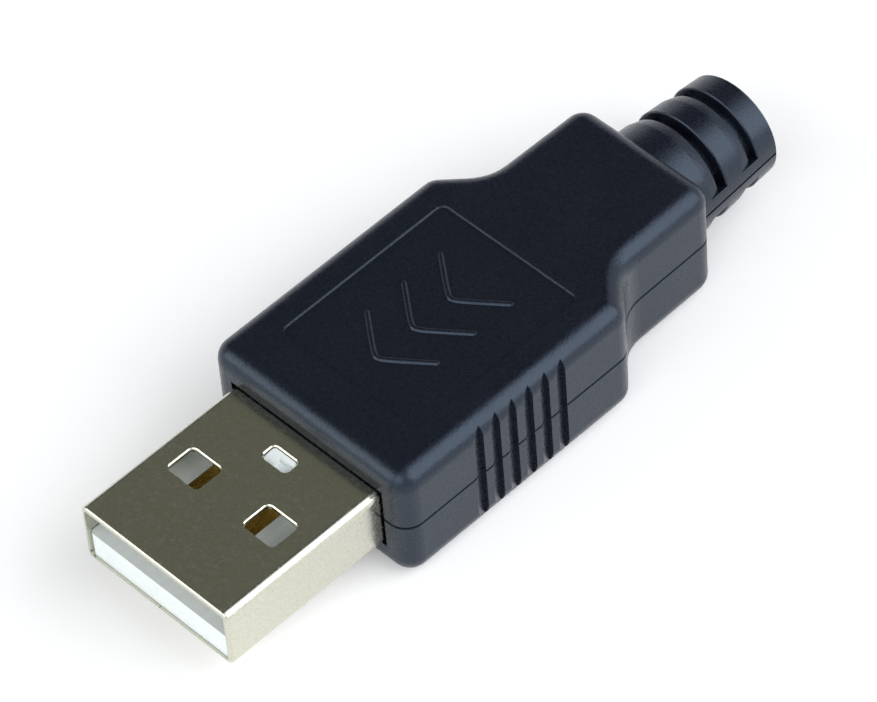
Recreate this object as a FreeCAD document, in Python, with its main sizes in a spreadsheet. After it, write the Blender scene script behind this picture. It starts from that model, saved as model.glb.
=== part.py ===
import FreeCAD, Part
import math
import os
import Sketcher

# A plug with a folded sheet shell, a moulded contact carrier with four strip
# contacts, and a two-part clip-together housing with a slotted cable tail.
# Millimetres. The origin is the centre of the shell's mouth. +X runs from the
# mouth to the cable, +Y to one side, +Z up. The halves meet on the plane Z = 0.

document = FreeCAD.newDocument("plug")
sizes = document.addObject("Spreadsheet::Sheet", "sizes")

# Driving dimensions
DIMENSIONS = [
    ("shell_width", 12.0, "outside width of the folded shell"),
    ("shell_height", 4.5, "outside height of the folded shell"),
    ("shell_sheet", 0.3, "thickness of the shell's sheet"),
    ("shell_corner", 0.5, "outside radius of the four folds"),
    ("shell_inner_corner", 0.2, "inside radius of the four folds"),
    ("shell_length", 18.8, "whole length of the shell"),
    ("shell_exposed", 12.0, "length of shell in front of the housing"),
    ("mouth_round", 0.22, "rounding of the mouth's outer edge"),
    ("window_setback", 5.16, "mouth to the near edge of the windows"),
    ("window_length", 2.1, "window size along the plug"),
    ("window_width", 2.5, "window size across the plug"),
    ("window_spread", 6.2, "distance between the window centres"),
    ("window_corner", 0.35, "corner radius of the windows"),
    ("latch_setback", 9.4, "mouth to the near edge of the latch hole"),
    ("latch_length", 1.1, "latch hole size along the plug"),
    ("latch_width", 2.0, "latch hole size across the plug"),
    ("latch_corner", 0.3, "corner radius of the latch hole"),
    ("punch_break", 0.07, "broken edge round the punched holes"),
    ("seam_gap", 0.06, "gap of the folded sheet's butt joint"),
    ("seam_lock_setback", 6.5, "mouth to the seam's dovetail"),
    ("seam_lock_length", 2.2, "length of the dovetail at its neck"),
    ("seam_lock_reach", 1.0, "how far the dovetail reaches across"),
    ("seam_lock_flare", 0.35, "undercut of the dovetail's flanks"),
    ("carrier_gap", 0.03, "running gap between carrier and shell"),
    ("carrier_inset", 0.3, "shell's rear edge to the carrier block's rear"),
    ("tongue_recess", 0.15, "mouth to the tongue's front"),
    ("tongue_top", 0.0, "height of the tongue's contact face"),
    ("tongue_chamfer", 0.2, "chamfer of the tongue's front corners"),
    ("cavity_depth", 8.8, "tongue's front to the carrier block"),
    ("shelf_width", 9.4, "width of the solder shelf"),
    ("shelf_depth", 1.5, "thickness of the solder shelf"),
    ("shelf_length", 2.7, "solder shelf's length behind the block"),
    ("nub_gap", 0.06, "gap round the latch nub in its hole"),
    ("nub_rise", 0.22, "height of the latch nub above the carrier"),
    ("nub_ledge", 0.3, "thickness of the nub's rear ledge"),
    ("nub_notch_reach", 0.12, "how far the nub's notch passes the middle"),
    ("nub_notch_sink", 0.2, "depth of the nub's notch below the carrier's top"),
    ("contact_width", 1.0, "width of a contact strip"),
    ("contact_sheet", 0.25, "thickness of a contact strip"),
    ("contact_gap", 0.03, "gap beside a contact in its channel"),
    ("contact_inner_spread", 2.0, "distance between the data contacts"),
    ("contact_outer_spread", 7.0, "distance between the power contacts"),
    ("power_setback", 1.1, "mouth to the tips of the power contacts"),
    ("data_setback", 2.1, "mouth to the tips of the data contacts"),
    ("tip_dip", 0.4, "how far a contact's tip bends down"),
    ("tip_bend", 0.25, "outer radius of the tip's bend"),
    ("tail_inset", 0.4, "shelf's rear to the contacts' rear ends"),
    ("housing_width", 15.9, "width of the housing"),
    ("housing_height", 8.7, "height of the closed housing"),
    ("housing_rear", 40.3, "mouth to the housing's rear face"),
    ("edge_round", 1.3, "rounding of the housing's long edges"),
    ("front_corner", 1.3, "front corners seen from above"),
    ("rear_corner", 1.3, "rear corners seen from above"),
    ("shoulder_setback", 30.0, "mouth to the start of the shoulders"),
    ("shoulder_length", 2.5, "length of the sloping shoulders"),
    ("shoulder_round", 1.3, "outward curve of the shoulders"),
    ("neck_blend", 3.0, "inward curve from shoulder to neck"),
    ("neck_width", 10.95, "width of the neck at the shoulders"),
    ("neck_rear_width", 10.7, "width of the neck at its rear face"),
    ("parting_chamfer", 0.12, "broken edge along the parting line"),
    ("parting_relief", 0.07, "depth of the tail's parting line"),
    ("relief_reach", 0.3, "how far in the tail's parting line goes"),
    ("panel_setback", 15.5, "mouth to the sunken panel"),
    ("panel_length", 13.3, "length of the sunken panel"),
    ("panel_width", 11.1, "width of the sunken panel"),
    ("panel_depth", 0.14, "depth of the sunken panel"),
    ("panel_corner", 0.55, "corner radius of the sunken panel"),
    ("grip_setback", 18.35, "mouth to the first grip groove's steep wall"),
    ("grip_pitch", 1.33, "distance between grip grooves"),
    ("grip_count", 6, "grip grooves on each side"),
    ("grip_depth", 0.32, "depth of a grip groove"),
    ("grip_flank", 0.75, "length of a grip groove's sloping flank"),
    ("grip_wall", 0.06, "lean of a grip groove's steep wall"),
    ("opening_gap", 0.15, "gap round the shell at the housing's opening"),
    ("opening_depth", 1.2, "depth of the wider opening"),
    ("seat_gap", 0.04, "gap round the shell in its seat"),
    ("stop_length", 1.0, "thickness of the stop behind the shell"),
    ("stop_step", 0.45, "how far the stop covers the shell's rear edge"),
    ("side_wall", 1.3, "thickness of the housing's side walls"),
    ("roof_wall", 1.2, "thickness of the housing's top and bottom"),
    ("rear_wall", 1.6, "thickness of the housing's rear wall"),
    ("cable_bore", 5.0, "bore of the tail"),
    ("rib_bore", 4.5, "bore of the ribs that grip the cable"),
    ("rib_setback", 34.6, "mouth to the first cable rib"),
    ("rib_length", 0.8, "thickness of a cable rib"),
    ("rib_pitch", 2.2, "distance between the cable ribs"),
    ("boss_radius", 1.3, "radius of the bosses"),
    ("boss_front_setback", 23.3, "mouth to the front bosses"),
    ("boss_rear_setback", 28.3, "mouth to the rear bosses"),
    ("boss_spread", 11.0, "distance between the bosses of a pair"),
    ("pin_radius", 0.6, "radius of the locating pins"),
    ("pin_length", 1.5, "length of the locating pins"),
    ("pin_gap", 0.05, "gap round a locating pin in its hole"),
    ("tail_root_radius", 3.98, "tail's radius where it leaves the housing"),
    ("tail_tip_radius", 3.5, "tail's radius at its end"),
    ("tail_hidden", 1.2, "part of the tail inside the housing's rear wall"),
    ("tail_rim", 0.12, "chamfer of the tail's end"),
    ("first_ring_length", 2.13, "housing to the first slot"),
    ("ring_length", 2.2, "length of the middle ring"),
    ("last_ring_length", 1.73, "length of the tail's last ring"),
    ("slot_length", 0.67, "width of a slot between two rings"),
    ("slot_floor_radius", 2.95, "radius of the slots' floor"),
    ("slot_land", 13.0, "degrees left uncut beside the parting plane"),
    ("slot_rim", 0.08, "chamfer of a ring's front edge"),
    ("roll_length", 0.74, "length of a ring's rolled-off rear part"),
    ("roll_drop", 0.18, "fall of the rolled-off part to the slot"),
    ("roll_step", 0.03, "witness step where the rolled-off part starts"),
]


def fill_sheet():
    for row, (alias, number, meaning) in enumerate(DIMENSIONS, start=1):
        sizes.set("A%d" % row, meaning)
        sizes.set("B%d" % row, str(number))
        sizes.setAlias("B%d" % row, alias)
    document.recompute()


def value(expression):
    return float(sizes.evalExpression(expression))


# Places worked out from the driving dimensions
INNER_WIDTH = "(sizes.shell_width - 2 * sizes.shell_sheet)"
INNER_HEIGHT = "(sizes.shell_height - 2 * sizes.shell_sheet)"
CARRIER_WIDTH = "(%s - 2 * sizes.carrier_gap)" % INNER_WIDTH
CARRIER_HEIGHT = "(%s - 2 * sizes.carrier_gap)" % INNER_HEIGHT
BLOCK_FRONT = "(sizes.tongue_recess + sizes.cavity_depth)"
BLOCK_REAR = "(sizes.shell_length - sizes.carrier_inset)"
SHELF_REAR = "(%s + sizes.shelf_length)" % BLOCK_REAR
CONTACT_REAR = "(%s - sizes.tail_inset)" % SHELF_REAR
CHANNEL_WIDTH = "(sizes.contact_width + 2 * sizes.contact_gap)"
TIP_DROP = "(sizes.tip_dip + sizes.contact_sheet * sqrt(0.5))"
HOUSING_FRONT = "sizes.shell_exposed"
HALF_HEIGHT = "(sizes.housing_height / 2)"
HALF_WIDTH = "(sizes.housing_width / 2)"
NECK_HALF = "(sizes.neck_width / 2)"
NECK_REAR_HALF = "(sizes.neck_rear_width / 2)"
SHOULDER_END = "(sizes.shoulder_setback + sizes.shoulder_length)"
SEAT_REAR = "(sizes.shell_length + sizes.seat_gap)"
STOP_REAR = "(%s + sizes.stop_length)" % SEAT_REAR
ROOM_HALF = "(%s - sizes.side_wall)" % HALF_WIDTH
ROOM_NECK_HALF = "(%s - sizes.side_wall)" % NECK_HALF
ROOM_HEIGHT = "(%s - sizes.roof_wall)" % HALF_HEIGHT
ROOM_REAR = "(sizes.housing_rear - sizes.rear_wall)"
TAIL_START = "(sizes.housing_rear - sizes.tail_hidden)"
FIRST_SLOT = "(sizes.housing_rear + sizes.first_ring_length)"
SLOT_PITCH = "(sizes.slot_length + sizes.ring_length)"
LAST_RING = "(%s + %s + sizes.slot_length)" % (FIRST_SLOT, SLOT_PITCH)
TAIL_END = "(%s + sizes.last_ring_length)" % LAST_RING
SLOTS = (FIRST_SLOT, "(%s + %s)" % (FIRST_SLOT, SLOT_PITCH))

TINY = 1e-5


# Sketch helpers
def sketch_on(body, name, role, shift=None):
    """A sketch on one of the body's origin planes, moved along its normal."""
    sketch = body.newObject("Sketcher::SketchObject", name)
    planes = [plane for plane in body.Origin.OriginFeatures if plane.Role == role]
    sketch.AttachmentSupport = [(planes[0], "")]
    sketch.MapMode = "FlatFace"
    if shift is not None:
        sketch.setExpression("AttachmentOffset.Base.z", shift)
    return sketch


def pin_point(sketch, geometry, end, across, up):
    """Ties a point of the sketch to the origin by two expressions."""
    for kind, expression in (("DistanceX", across), ("DistanceY", up)):
        number = sketch.addConstraint(
            Sketcher.Constraint(kind, -1, 1, geometry, end, value(expression))
        )
        sketch.setExpression("Constraints[%d]" % number, expression)


def outline(sketch, corners):
    """A closed outline of straight lines through the corners."""
    points = [FreeCAD.Vector(value(x), value(y), 0) for x, y in corners]
    first = sketch.GeometryCount
    count = len(points)
    for index in range(count):
        line = Part.LineSegment(points[index], points[(index + 1) % count])
        sketch.addGeometry(line, False)
    for index in range(count):
        following = first + (index + 1) % count
        sketch.addConstraint(Sketcher.Constraint("Coincident", first + index, 2, following, 1))
    for index, (x, y) in enumerate(corners):
        pin_point(sketch, first + index, 1, x, y)


def rectangle(sketch, x_low, x_high, y_low, y_high):
    outline(sketch, [(x_low, y_low), (x_high, y_low), (x_high, y_high), (x_low, y_high)])


def centred_rectangle(sketch, x_low, x_high, width):
    rectangle(sketch, x_low, x_high, "-(%s) / 2" % width, "(%s) / 2" % width)


def circle(sketch, x, y, radius):
    centre = FreeCAD.Vector(value(x), value(y), 0)
    number = sketch.addGeometry(Part.Circle(centre, FreeCAD.Vector(0, 0, 1), value(radius)))
    pin_point(sketch, number, 3, x, y)
    bound = sketch.addConstraint(Sketcher.Constraint("Radius", number, value(radius)))
    sketch.setExpression("Constraints[%d]" % bound, radius)


# Feature helpers
def finish(body, feature):
    """Recomputes, and stops where the feature failed."""
    body.Tip = feature
    document.recompute()
    if feature.Shape.isNull() or not feature.Shape.isValid():
        raise RuntimeError("%s has no valid shape" % feature.Name)
    return feature


def pad(body, name, sketch, length, reverse=False, both=False):
    feature = body.newObject("PartDesign::Pad", name)
    feature.Profile = sketch
    feature.setExpression("Length", length)
    feature.Reversed = reverse
    feature.Midplane = both
    return finish(body, feature)


def cut(body, name, sketch, length=None, reverse=False, both=False):
    """A pocket, through everything where it has no length."""
    before = body.Shape.Volume
    feature = body.newObject("PartDesign::Pocket", name)
    feature.Profile = sketch
    if length is None:
        feature.Type = "ThroughAll"
    else:
        feature.setExpression("Length", length)
    feature.Reversed = reverse
    feature.Midplane = both
    finish(body, feature)
    if feature.Shape.Volume >= before:
        raise RuntimeError("%s cuts nothing" % name)
    return feature


def turned(body, kind, name, sketch, angle):
    """A revolution or groove about X, shared evenly by both sides of its sketch."""
    feature = body.newObject(kind, name)
    feature.Profile = sketch
    feature.ReferenceAxis = (sketch, ["H_Axis"])
    feature.setExpression("Angle", angle)
    feature.Midplane = True
    return finish(body, feature)


def edges_where(feature, test):
    return [
        "Edge%d" % number
        for number, edge in enumerate(feature.Shape.Edges, start=1)
        if test(edge)
    ]


def dress(body, kind, name, base, edges, size):
    """A fillet or chamfer on named edges of the base."""
    feature = body.newObject(kind, name)
    feature.Base = (base, edges)
    feature.setExpression("Radius" if kind.endswith("Fillet") else "Size", size)
    return finish(body, feature)


def upright(edge):
    box = edge.BoundBox
    return box.XLength < TINY and box.YLength < TINY and box.ZLength > TINY


def lengthways(edge):
    box = edge.BoundBox
    return box.YLength < TINY and box.ZLength < TINY and box.XLength > TINY


def upright_at(x, half_width=None):
    """A test for upright edges at a place along X, and across Y where given."""
    def test(edge):
        if not upright(edge):
            return False
        box = edge.BoundBox
        if abs(box.XMin - value(x)) > TINY:
            return False
        return half_width is None or abs(abs(box.YMin) - value(half_width)) < TINY
    return test


def new_body(name):
    body = document.addObject("PartDesign::Body", name)
    body.Label = name
    return body


# The folded shell
def seam_outline():
    """The butt joint's gap: straight, with one dovetail to lock the sheet's edges."""
    start = "sizes.seam_lock_setback"
    end = "(sizes.seam_lock_setback + sizes.seam_lock_length)"
    wide_start = "(%s - sizes.seam_lock_flare)" % start
    wide_end = "(%s + sizes.seam_lock_flare)" % end
    near, far = "-sizes.seam_gap / 2", "sizes.seam_gap / 2"
    reach_near = "(sizes.seam_lock_reach - sizes.seam_gap / 2)"
    reach_far = "(sizes.seam_lock_reach + sizes.seam_gap / 2)"
    before, after = "-sizes.shell_sheet", "(sizes.shell_length + sizes.shell_sheet)"
    gap = "sizes.seam_gap"
    return [
        (before, near),
        (start + " + " + gap, near),
        (wide_start + " + " + gap, reach_near),
        (wide_end + " - " + gap, reach_near),
        (end + " - " + gap, near),
        (after, near),
        (after, far),
        (end, far),
        (wide_end, reach_far),
        (wide_start, reach_far),
        (start, far),
        (before, far),
    ]


def broken_punches(body):
    """The outer edges of the windows and the latch hole, which the punch draws in."""
    outside = value("sizes.shell_height / 2")
    front = value("sizes.window_setback") - TINY
    rear = value("sizes.latch_setback + sizes.latch_length") + TINY

    def punched(edge):
        box = edge.BoundBox
        flat = box.ZLength < TINY and abs(abs(box.ZMin) - outside) < TINY
        return flat and box.XMin > front and box.XMax < rear

    dress(
        body, "PartDesign::Chamfer", "punched_edges", body.Tip,
        edges_where(body.Tip, punched), "sizes.punch_break",
    )


def plug_shell():
    body = new_body("plug_shell")
    section = sketch_on(body, "shell_section", "YZ_Plane")
    rectangle(
        section,
        "-sizes.shell_width / 2", "sizes.shell_width / 2",
        "-sizes.shell_height / 2", "sizes.shell_height / 2",
    )
    block = pad(body, "shell_block", section, "sizes.shell_length")
    dress(
        body, "PartDesign::Fillet", "shell_folds", block,
        edges_where(block, lengthways), "sizes.shell_corner",
    )
    hollow = sketch_on(body, "hollow_section", "YZ_Plane")
    rectangle(
        hollow,
        "-%s / 2" % INNER_WIDTH, "%s / 2" % INNER_WIDTH,
        "-%s / 2" % INNER_HEIGHT, "%s / 2" % INNER_HEIGHT,
    )
    tube = cut(body, "shell_hollow", hollow, both=True)
    inner_half = value(INNER_WIDTH + " / 2")

    def inner_fold(edge):
        return lengthways(edge) and abs(abs(edge.BoundBox.YMin) - inner_half) < TINY

    lined = dress(
        body, "PartDesign::Fillet", "inner_folds", tube,
        edges_where(tube, inner_fold), "sizes.shell_inner_corner",
    )
    inner_rise = value(INNER_HEIGHT + " / 2")

    def outer_mouth(edge):
        box = edge.BoundBox
        across = max(abs(box.YMin), abs(box.YMax))
        up = max(abs(box.ZMin), abs(box.ZMax))
        outer = across > inner_half + TINY or up > inner_rise + TINY
        return box.XMax < TINY and outer

    dress(
        body, "PartDesign::Fillet", "mouth_rounding", lined,
        edges_where(lined, outer_mouth), "sizes.mouth_round",
    )
    windows = sketch_on(body, "window_outlines", "XY_Plane")
    near = "sizes.window_setback"
    far = "(sizes.window_setback + sizes.window_length)"
    inside = "((sizes.window_spread - sizes.window_width) / 2)"
    outside = "((sizes.window_spread + sizes.window_width) / 2)"
    rectangle(windows, near, far, inside, outside)
    rectangle(windows, near, far, "-" + outside, "-" + inside)
    pierced = cut(body, "windows", windows, both=True)
    at_near, at_far = upright_at(near), upright_at(far)
    dress(
        body, "PartDesign::Fillet", "window_corners", pierced,
        edges_where(pierced, lambda edge: at_near(edge) or at_far(edge)),
        "sizes.window_corner",
    )
    latch = sketch_on(body, "latch_outline", "XY_Plane")
    latch_far = "(sizes.latch_setback + sizes.latch_length)"
    centred_rectangle(latch, "sizes.latch_setback", latch_far, "sizes.latch_width")
    holed = cut(body, "latch_hole", latch, "sizes.shell_height", reverse=True)
    at_front, at_rear = upright_at("sizes.latch_setback"), upright_at(latch_far)
    dress(
        body, "PartDesign::Fillet", "latch_corners", holed,
        edges_where(holed, lambda edge: at_front(edge) or at_rear(edge)),
        "sizes.latch_corner",
    )
    broken_punches(body)
    seam = sketch_on(body, "seam_line", "XY_Plane")
    outline(seam, seam_outline())
    cut(body, "seam", seam, "sizes.shell_height")
    return body


# The moulded contact carrier
def contact_places():
    """Each contact's name, place across the plug and distance from the mouth."""
    return [
        ("contact_power", "-sizes.contact_outer_spread / 2", "sizes.power_setback"),
        ("contact_data_minus", "-sizes.contact_inner_spread / 2", "sizes.data_setback"),
        ("contact_data_plus", "sizes.contact_inner_spread / 2", "sizes.data_setback"),
        ("contact_ground", "sizes.contact_outer_spread / 2", "sizes.power_setback"),
    ]


def contact_carrier():
    body = new_body("contact_carrier")
    floor = "-%s / 2" % CARRIER_HEIGHT
    block = sketch_on(body, "block_section", "YZ_Plane", BLOCK_FRONT)
    rectangle(
        block, "-%s / 2" % CARRIER_WIDTH, "%s / 2" % CARRIER_WIDTH,
        floor, "%s / 2" % CARRIER_HEIGHT,
    )
    pad(body, "carrier_block", block, "%s - %s" % (BLOCK_REAR, BLOCK_FRONT))
    tongue = sketch_on(body, "tongue_section", "YZ_Plane", "sizes.tongue_recess")
    rectangle(
        tongue, "-%s / 2" % CARRIER_WIDTH, "%s / 2" % CARRIER_WIDTH,
        floor, "sizes.tongue_top",
    )
    tipped = pad(body, "tongue", tongue, "sizes.cavity_depth")
    tongue_front = upright_at("sizes.tongue_recess")
    chamfered = dress(
        body, "PartDesign::Chamfer", "tongue_corners", tipped,
        edges_where(tipped, tongue_front), "sizes.tongue_chamfer",
    )
    side, rise = value(CARRIER_WIDTH + " / 2"), value(CARRIER_HEIGHT + " / 2")

    def in_a_fold(edge):
        box = edge.BoundBox
        beside = abs(abs(box.YMin) - side) < TINY
        return lengthways(edge) and beside and abs(abs(box.ZMin) - rise) < TINY

    dress(
        body, "PartDesign::Fillet", "carrier_corners", chamfered,
        edges_where(chamfered, in_a_fold), "sizes.shell_inner_corner",
    )
    shelf = sketch_on(body, "shelf_section", "YZ_Plane", BLOCK_REAR)
    rectangle(
        shelf, "-sizes.shelf_width / 2", "sizes.shelf_width / 2",
        "sizes.tongue_top - sizes.shelf_depth", "sizes.tongue_top",
    )
    pad(body, "solder_shelf", shelf, "sizes.shelf_length")
    channels = sketch_on(body, "channel_outlines", "XY_Plane", "sizes.tongue_top")
    tips = sketch_on(body, "tip_pockets", "XY_Plane", "sizes.tongue_top")
    for name, across, setback in contact_places():
        low = "%s - %s / 2" % (across, CHANNEL_WIDTH)
        high = "%s + %s / 2" % (across, CHANNEL_WIDTH)
        start = "%s - sizes.contact_gap" % setback
        rectangle(channels, start, SHELF_REAR, low, high)
        bend_end = "%s + 2 * sizes.tip_dip" % setback
        rectangle(tips, start, bend_end, low, high)
    cut(body, "contact_channels", channels, "sizes.contact_sheet")
    cut(body, "contact_tip_pockets", tips, "%s + sizes.contact_gap" % TIP_DROP)
    nub = sketch_on(body, "nub_profile", "XZ_Plane")
    nub_front = "sizes.latch_setback + sizes.nub_gap"
    nub_rear = "sizes.latch_setback + sizes.latch_length - sizes.nub_gap"
    roof = "%s / 2" % CARRIER_HEIGHT
    outline(nub, [
        (nub_front, roof + " - sizes.nub_rise"),
        (nub_rear, roof + " - sizes.nub_rise"),
        (nub_rear, roof + " + sizes.nub_rise"),
        (nub_front, roof + " + sizes.nub_rise / 4"),
    ])
    raised = pad(body, "latch_nub", nub, "sizes.latch_width - 2 * sizes.nub_gap", both=True)
    at_front, at_rear = upright_at(nub_front), upright_at(nub_rear)
    dress(
        body, "PartDesign::Fillet", "nub_corners", raised,
        edges_where(raised, lambda edge: at_front(edge) or at_rear(edge)),
        "sizes.latch_corner - sizes.nub_gap",
    )
    notch = sketch_on(body, "nub_notch_plan", "XY_Plane", roof + " - sizes.nub_notch_sink")
    rectangle(
        notch, nub_front, nub_rear + " - sizes.nub_ledge",
        "-sizes.latch_width / 2", "sizes.nub_notch_reach",
    )
    cut(body, "nub_notch", notch, "sizes.nub_notch_sink + 2 * sizes.nub_rise", reverse=True)
    return body


# The four contacts
def contact(name, across, setback):
    """A flat strip whose front tip bends down by 45 degrees into the tongue."""
    body = new_body(name)
    body.setExpression("Placement.Base.y", across)
    profile = sketch_on(body, name + "_profile", "XZ_Plane")
    top = "sizes.tongue_top"
    under = "sizes.tongue_top - sizes.contact_sheet"
    side = "sizes.contact_sheet * sqrt(0.5)"
    outline(profile, [
        (CONTACT_REAR, top),
        ("%s + sizes.tip_dip" % setback, top),
        (setback, "%s - sizes.tip_dip" % top),
        ("%s + %s" % (setback, side), "%s - %s" % (top, TIP_DROP)),
        ("%s + sizes.tip_dip + sizes.contact_sheet * (sqrt(2) - 1)" % setback, under),
        (CONTACT_REAR, under),
    ])
    strip = pad(body, name + "_strip", profile, "sizes.contact_width", both=True)
    bend = value("%s + sizes.tip_dip" % setback)

    def outer_bend(edge):
        box = edge.BoundBox
        flat = box.XLength < TINY and box.ZLength < TINY
        return flat and abs(box.XMin - bend) < TINY

    dress(
        body, "PartDesign::Fillet", name + "_bend", strip,
        edges_where(strip, outer_bend), "sizes.tip_bend",
    )
    return body


# The two housing halves
def housing_corners():
    return [
        (HOUSING_FRONT, "-" + HALF_WIDTH),
        ("sizes.shoulder_setback", "-" + HALF_WIDTH),
        (SHOULDER_END, "-" + NECK_HALF),
        ("sizes.housing_rear", "-" + NECK_REAR_HALF),
        ("sizes.housing_rear", NECK_REAR_HALF),
        (SHOULDER_END, NECK_HALF),
        ("sizes.shoulder_setback", HALF_WIDTH),
        (HOUSING_FRONT, HALF_WIDTH),
    ]


def housing_block(body, name, side):
    """The half's outside: plan outline, rounded corners, rounded long edges."""
    plan = sketch_on(body, name + "_plan", "XY_Plane")
    outline(plan, housing_corners())
    base = pad(body, name + "_block", plan, HALF_HEIGHT, reverse=side < 0)
    corners = [
        ("front_corners", HOUSING_FRONT, HALF_WIDTH, "sizes.front_corner"),
        ("shoulders", "sizes.shoulder_setback", HALF_WIDTH, "sizes.shoulder_round"),
        ("neck_blends", SHOULDER_END, NECK_HALF, "sizes.neck_blend"),
        ("rear_corners", "sizes.housing_rear", NECK_REAR_HALF, "sizes.rear_corner"),
    ]
    for label, x, half_width, radius in corners:
        edges = edges_where(base, upright_at(x, half_width))
        base = dress(body, "PartDesign::Fillet", name + "_" + label, base, edges, radius)
    level = side * value(HALF_HEIGHT)

    def on_roof(edge):
        box = edge.BoundBox
        return abs(box.ZMin - level) < TINY and abs(box.ZMax - level) < TINY

    base = dress(
        body, "PartDesign::Fillet", name + "_long_edges", base,
        edges_where(base, on_roof), "sizes.edge_round",
    )

    def on_parting(edge):
        box = edge.BoundBox
        return abs(box.ZMin) < TINY and abs(box.ZMax) < TINY

    return dress(
        body, "PartDesign::Chamfer", name + "_parting_edge", base,
        edges_where(base, on_parting), "sizes.parting_chamfer",
    )


def taper(x):
    """The tail's radius, falling evenly from the housing to the tail's end."""
    fall = "(sizes.tail_root_radius - sizes.tail_tip_radius)"
    share = "((%s - sizes.housing_rear) / (%s - sizes.housing_rear))" % (x, TAIL_END)
    return "(sizes.tail_root_radius - %s * %s)" % (fall, share)


def mirrored(corners, side):
    """Corners given as a place along the plug and a radius, on one side of the plug's axis."""
    sign = "" if side > 0 else "-"
    return [(x, "%s(%s)" % (sign, radius)) for x, radius in corners]


def roll_off(sketch, begin, end):
    """An arc between two places of a sketch, centred on the plug's axis. It bulges away from the axis."""
    x0, y0, x1, y1 = [value(item) for item in (*begin, *end)]
    middle = (x1 ** 2 + y1 ** 2 - x0 ** 2 - y0 ** 2) / (2 * (x1 - x0))
    ball = Part.Circle(
        FreeCAD.Vector(middle, 0, 0), FreeCAD.Vector(0, 0, 1), math.hypot(x0 - middle, y0),
    )
    turns = [math.atan2(y0, x0 - middle), math.atan2(y1, x1 - middle)]
    number = sketch.addGeometry(Part.ArcOfCircle(ball, *sorted(turns)), False)
    begin_end, end_end = (1, 2) if turns[0] < turns[1] else (2, 1)
    pin_point(sketch, number, begin_end, *begin)
    pin_point(sketch, number, end_end, *end)
    sketch.addConstraint(Sketcher.Constraint("PointOnObject", number, 3, -1))


def slot_outline(sketch, places):
    """A slot's closed section. Its second edge is the roll-off, and the others are straight."""
    points = [FreeCAD.Vector(value(x), value(y), 0) for x, y in places]
    for index, place in enumerate(places):
        after = (index + 1) % len(places)
        if index == 1:
            roll_off(sketch, place, places[after])
            continue
        number = sketch.addGeometry(Part.LineSegment(points[index], points[after]), False)
        pin_point(sketch, number, 1, *place)
        pin_point(sketch, number, 2, *places[after])


def tail(body, name, side):
    """Half of the tail: a taper turned about X, with two blind slots. Each slot has a sharp ring edge
    behind it, and in front of it the ring rolls off from a fine witness step."""
    profile = sketch_on(body, name + "_tail_profile", "XZ_Plane")
    outline(profile, mirrored([
        (TAIL_START, "0"),
        (TAIL_START, taper(TAIL_START)),
        (TAIL_END + " - sizes.tail_rim", taper("(%s - sizes.tail_rim)" % TAIL_END)),
        (TAIL_END, taper(TAIL_END) + " - sizes.tail_rim"),
        (TAIL_END, "0"),
    ], side))
    turned(body, "PartDesign::Revolution", name + "_tail", profile, "180")
    slots = sketch_on(body, name + "_slot_profile", "XZ_Plane")
    clear = "(sizes.tail_root_radius + sizes.relief_reach)"
    for front in SLOTS:
        roll = "(%s - sizes.roll_length)" % front
        rear = "(%s + sizes.slot_length)" % front
        step = taper(roll) + " - sizes.roll_step"
        rim = "(%s - sizes.slot_rim)" % taper(rear)
        slot_outline(slots, mirrored([
            (roll, clear),
            (roll, step),
            (front, step + " - sizes.roll_drop"),
            (front, "sizes.slot_floor_radius"),
            (rear, "sizes.slot_floor_radius"),
            (rear, rim),
            ("(%s + %s - %s)" % (rear, clear, rim), clear),
        ], side))
    before = body.Shape.Volume
    turned(body, "PartDesign::Groove", name + "_slots", slots, "180 - 2 * sizes.slot_land")
    if body.Shape.Volume >= before:
        raise RuntimeError("%s has no slots" % name)


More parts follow.
